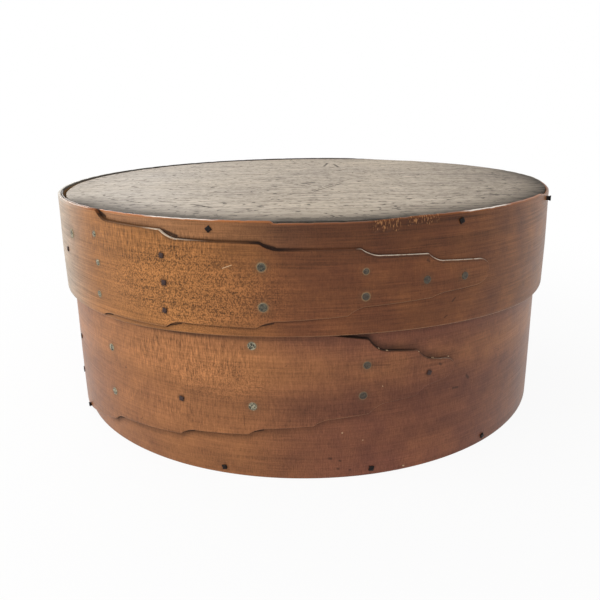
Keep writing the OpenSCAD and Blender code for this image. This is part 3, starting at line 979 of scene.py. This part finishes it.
class Tree(Nodes):
    """A geometry node tree with named inputs for its sizes."""

    def __init__(self, name, inputs):
        super().__init__(bpy.data.node_groups.new(name, "GeometryNodeTree"))
        face = self.tree.interface
        face.new_socket("Points", in_out="INPUT", socket_type="NodeSocketGeometry")
        self.inputs = {
            label: face.new_socket(label, in_out="INPUT", socket_type="NodeSocketFloat").identifier
            for label in inputs
        }
        face.new_socket("Geometry", in_out="OUTPUT", socket_type="NodeSocketGeometry")
        self.given = self.tree.nodes.new("NodeGroupInput")

    def sizes(self, *labels):
        return [Value(self, self.given.outputs[label]) for label in labels]

    def named(self, kind, label):
        return self.node("GeometryNodeInputNamedAttribute", {"Name": label}, data_type=kind)

    def bar(self, width, depth, across, middle, shift=0.0):
        """A square or flat bar along Z, at a middle height, moved along X."""
        counts = {"Vertices X": 4, "Vertices Y": 4, "Vertices Z": 4}
        block = self.node("GeometryNodeMeshCube", {"Size": self.join(width, across, depth), **counts})
        move = self.join(shift, 0.0, middle)
        return self.node("GeometryNodeTransform", {"Geometry": block, "Translation": move})

    def clench(self, width, grip):
        """The bent point, flat against the inside of the lap."""
        length, rise = self.sizes(*CLENCHED_POINT)
        return self.bar(length, rise, width, (rise * 0.5 + grip) * -1.0, (length - width) * 0.5)

    def finish(self, shapes, material, hammering, grain):
        """Puts the shape on every point, hammers the result uneven and gives it its material."""
        shape = self.node("GeometryNodeJoinGeometry", {"Geometry": shapes})
        (points,) = self.sizes("Points")
        turn, size = self.named("FLOAT_VECTOR", "turn"), self.named("FLOAT", "size")
        standing = {"Points": points, "Instance": shape, "Rotation": turn, "Scale": size}
        many = self.node("GeometryNodeInstanceOnPoints", standing)
        real = self.node("GeometryNodeRealizeInstances", {"Geometry": many})
        hammer = {"W": DENT_SEED, "Scale": grain}
        dents = self.node("ShaderNodeTexNoise", hammer, "Color", noise_dimensions="4D")
        push = self.node("ShaderNodeVectorMath", {0: dents, 1: (0.5, 0.5, 0.5)}, operation="SUBTRACT")
        push = self.node("ShaderNodeVectorMath", {0: push, "Scale": hammering}, operation="SCALE")
        moved = self.node("GeometryNodeSetPosition", {"Geometry": real, "Offset": push})
        smooth = self.node("GeometryNodeSetShadeSmooth", {"Geometry": moved})
        ready = self.node("GeometryNodeSetMaterial", {"Geometry": smooth, "Material": material})
        self.feed(self.tree.nodes.new("NodeGroupOutput").inputs[0], ready)


def tack_tree(material):
    """A low pillowed head, a round shank, and a point clenched along the grain."""
    tree = Tree("tack", HEAD_AND_SHANK + CLENCHED_POINT)
    width, rise, shank, grip = tree.sizes(*HEAD_AND_SHANK)
    radius = width * 0.5
    ball = tree.node("GeometryNodeMeshUVSphere", {"Segments": 20, "Rings": 14, "Radius": radius})
    x, y, z = tree.split(tree.node("GeometryNodeInputPosition"))
    above = tree.node("ShaderNodeClamp", {"Value": z / radius})
    marking = {"Geometry": ball, "Name": "middle", "Value": above}
    marked = tree.node("GeometryNodeStoreNamedAttribute", marking)
    pillow = tree.join(x, y, above**PILLOW * rise)
    head = tree.node("GeometryNodeSetPosition", {"Geometry": marked, "Position": pillow})
    pin = tree.node("GeometryNodeMeshCylinder", {"Vertices": 12, "Radius": shank * 0.5, "Depth": grip})
    down = tree.join(0.0, 0.0, grip * -0.5)
    pin = tree.node("GeometryNodeTransform", {"Geometry": pin, "Translation": down})
    tree.finish([head, pin, tree.clench(shank, grip)], material, hammering=0.22 * MM, grain=1100.0)
    return tree


def nail_tree(material, clenched):
    """A square head on a square shank, with a clenched point where it holds a lap."""
    tree = Tree("nail", HEAD_AND_SHANK + CLENCHED_POINT if clenched else HEAD_AND_SHANK)
    width, rise, shank, grip = tree.sizes(*HEAD_AND_SHANK)
    head = tree.bar(width, rise, width, rise * 0.5)
    pin = tree.bar(shank, grip, shank, grip * -0.5)
    point = [tree.clench(shank, grip)] if clenched else []
    tree.finish([head, pin] + point, material, hammering=0.25 * MM, grain=1500.0)
    return tree


def fasten(name, tree, places, sizes):
    """One mesh of all the fasteners at places, which are (angle, radius, height, size, twist)."""
    angle, radius, z, size, twist = (np.array(part, float) for part in zip(*places))
    mesh = bpy.data.meshes.new(name + "_points")
    mesh.from_pydata([tuple(p) for p in at(angle, radius, z)], [], [])
    turns = []
    for a, t in zip(np.radians(angle), np.radians(twist)):
        outward = Vector((math.sin(a), -math.cos(a), 0))
        sideways = Vector((math.cos(a), math.sin(a), 0))
        stand = Matrix((sideways, Vector((0, 0, 1)), outward)).transposed()
        turns.append((stand @ Matrix.Rotation(t, 3, "Z")).to_euler())
    mesh.attributes.new("turn", "FLOAT_VECTOR", "POINT").data.foreach_set("vector", np.ravel(turns))
    mesh.attributes.new("size", "FLOAT", "POINT").data.foreach_set("value", size)
    points = put(name + "_points", mesh)
    modifier = points.modifiers.new("fasteners", "NODES")
    modifier.node_group = tree.tree
    for label, value in sizes.items():
        modifier[tree.inputs[label]] = value
    made = bpy.data.meshes.new_from_object(points.evaluated_get(bpy.context.evaluated_depsgraph_get()))
    made.name = name
    bpy.data.objects.remove(points)
    return put(name, made)


# The camera, the floor and the light

# Strength of the surround as light on the box, and the share of the floor near it that is pure white
SURROUND_LIGHT = 0.38
NEAR_WHITE = 0.92


def camera():
    """Stands where the photograph was taken from."""
    place = (0.00026, -0.33462, 0.14411)
    pitch, yaw, roll = 0.31124, -0.00916, -0.01524
    forward = Vector((math.sin(yaw) * math.cos(pitch), math.cos(yaw) * math.cos(pitch), -math.sin(pitch)))
    right = forward.cross(Vector((0, 0, 1))).normalized()
    up = right.cross(forward)
    side = math.cos(roll) * right + math.sin(roll) * up
    top = math.cos(roll) * up - math.sin(roll) * right
    lens = bpy.data.cameras.new("camera")
    lens.lens, lens.sensor_width = 37.38, 36
    lens.clip_start = 0.01
    eye = put("camera", lens)
    eye.matrix_world = Matrix((side, top, -forward)).transposed().to_4x4()
    eye.location = place
    bpy.context.scene.camera = eye


def lamp(name, place, target, size, power):
    """A soft window that faces a target."""
    light = bpy.data.lights.new(name, "AREA")
    light.shape = "RECTANGLE"
    light.size, light.size_y = size
    light.energy = power
    holder = put(name, light)
    holder.location = place
    holder.rotation_euler = (Vector(target) - Vector(place)).to_track_quat("-Z", "Y").to_euler()


def white_surround():
    """White where it is seen, and a softer light on the box."""
    world = bpy.data.worlds.new("studio")
    bpy.context.scene.world = world
    world.use_nodes = True
    nodes = Nodes(world.node_tree)
    nodes.tree.nodes.remove(nodes.tree.nodes["Background"])
    soft, white = (
        nodes.node("ShaderNodeBackground", {"Color": (1, 1, 1), "Strength": strength})
        for strength in (SURROUND_LIGHT, 1)
    )
    nodes.show("World Output", soft, white)


def white_floor():
    """Paper that looks white and keeps a faint shadow of the box."""
    reach, drop = 4.0, 0.05 * MM
    sheet = bpy.data.meshes.new("floor")
    corners = [(-reach, -reach), (reach, -reach), (reach, reach), (-reach, reach)]
    sheet.from_pydata([(x, y, -drop) for x, y in corners], [], [(0, 1, 2, 3)])
    floor = put("floor", sheet)
    paper = Finish("floor_paper", Roughness=0.9, Specular_IOR_Level=0)
    paper.set("Base Color", (0.9, 0.9, 0.9))
    matt = Value(paper, paper.shader.outputs[0])
    glow = paper.node("ShaderNodeEmission", {"Color": (1, 1, 1)})
    _, x, y, _ = paper.place()
    far = (x * x + y * y).root().between(0.1, 0.45)
    paper.show("Material Output", matt, glow, NEAR_WHITE + far * (1 - NEAR_WHITE))
    sheet.materials.append(paper.material)


def studio():
    """Plain soft light on white paper."""
    white_surround()
    white_floor()
    middle = (0, 0, 0.06)
    lamp("left_window", (-0.9, -0.35, 0.75), middle, size=(0.8, 0.8), power=6.2)
    lamp("back_left_window", (-0.6, 0.9, 0.7), middle, size=(0.9, 0.5), power=6.5)
    lamp("front_fill", (0.25, -1.2, 0.8), middle, size=(1.0, 0.8), power=5)
    bpy.context.scene.view_settings.view_transform = "Standard"


# Putting the box together

def settle(piece, body, node, material=None):
    """Gives a piece its body and the node it stands in for."""
    if material:
        piece.data.materials.append(material)
    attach(piece, body)
    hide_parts(node)


camera()
studio()

lid_levels = np.concatenate([np.linspace(0.02, 0.86, 18), np.linspace(0.88, 0.985, 9)])
lid_hoop = hoop_mesh("lid_hoop", LID, lid_levels, lid_foot_bow, lid_rim_drop, lid_torn)
settle(lid_hoop, "lid", "lid_band", hoop_wood("lid_hoop_wood", LID, LID_LOOK))
base_hoop = hoop_mesh("base_hoop", BASE, np.linspace(0.01, 0.99, 34), plain, plain, plain)
settle(base_hoop, "base", "base_band", hoop_wood("base_hoop_wood", BASE, BASE_LOOK))

BOARD_GAP = 0.15 * MM
BOARD_EASE = 0.6 * MM
lid_board_r = LID.radius - BAND_T - LID.lean - BOARD_GAP
lid_disc = board_mesh(
    "lid_disc", lid_board_r, BOARD_LOW, BOARD_TOP, BOARD_EASE, sag=0.35 * MM, seed=1.7,
    shrink=lid_board_shrink,
)
# The lid board's pale colours carry a painted sheen over the wood's own colour
lid_board_wood = board_wood(
    "lid_board_wood", (200, 185, 165), (122, 107, 91), lid_board_r, wear=0.97,
    marks=LID_BOARD_MARKS,
)
settle(lid_disc, "lid", "lid_board", lid_board_wood)
bottom_r = BASE.radius - BASE.drawn_in(BOTTOM_T) - BAND_T - BOARD_GAP
bottom_disc = board_mesh(
    "bottom_disc", bottom_r, 0, BOTTOM_T, BOARD_EASE, sag=0.3 * MM, seed=5.3, shrink=plain
)
bottom_board_wood = board_wood(
    "bottom_board_wood", (186, 152, 108), (146, 110, 72), bottom_r, wear=0.4, marks=[]
)
settle(bottom_disc, "base", "bottom_board", bottom_board_wood)

GRIP = BAND_T + LAP_RISE
HEAD_RISE = 0.45 * MM
CLENCH = {"Clench length": 3 * MM, "Clench height": 0.25 * MM}
TACK = {"Head width": 3.2 * MM, "Head height": 0.38 * MM, "Shank width": 1.3 * MM, "Grip": GRIP, **CLENCH}
RIM_NAIL = {"Head width": 2 * MM, "Head height": HEAD_RISE, "Shank width": 1.7 * MM, "Grip": 14 * MM}
NAIL = {**RIM_NAIL, "Grip": GRIP, **CLENCH}
copper, iron = copper_green(), iron_dark()
tack = tack_tree(copper)
nail, rim_nail = nail_tree(iron, clenched=True), nail_tree(iron, clenched=False)
draw = np.random.default_rng(7)


def lap_places(hoop, places, twist):
    """Where fasteners sit on a lap, each a little turned."""
    rows = []
    for angle, height, size in places:
        z = hoop.foot + height * MM
        surface = hoop.outside(angle + 360) - hoop.drawn_in(z)
        rows.append((angle, surface, z, size, draw.uniform(-twist, twist)))
    return rows


def rim_places(hoop, z, places):
    """Where the rim nails sit, each pulled out by as much as it has worked loose."""
    rows = []
    for angle, stand, twist in places:
        (low,), (high,) = hoop.finger(np.array([angle]))
        surface = hoop.outside(angle + 360 if low < z < high else angle) - hoop.drawn_in(z)
        rows.append((angle, surface + stand * MM - HEAD_RISE, z, draw.uniform(0.9, 1.05), twist))
    return rows


for body, hoop in (("lid", LID), ("base", BASE)):
    held = lap_places(hoop, hoop.tacks, twist=30)
    nailed = lap_places(hoop, hoop.nails, twist=20)
    settle(fasten(body + "_copper_tacks", tack, held, TACK), body, body + "_lap_tacks")
    settle(fasten(body + "_iron_nails", nail, nailed, NAIL), body, body + "_lap_nails")
for body, hoop, z, places in (
    ("lid", LID, LID_TOP - LID_NAIL_DROP, LID_RIM_NAILS),
    ("base", BASE, BASE_NAIL_RISE, BASE_RIM_NAILS),
):
    edge = fasten(body + "_edge_nails", rim_nail, rim_places(hoop, z, places), RIM_NAIL)
    settle(edge, body, body + "_rim_nails")
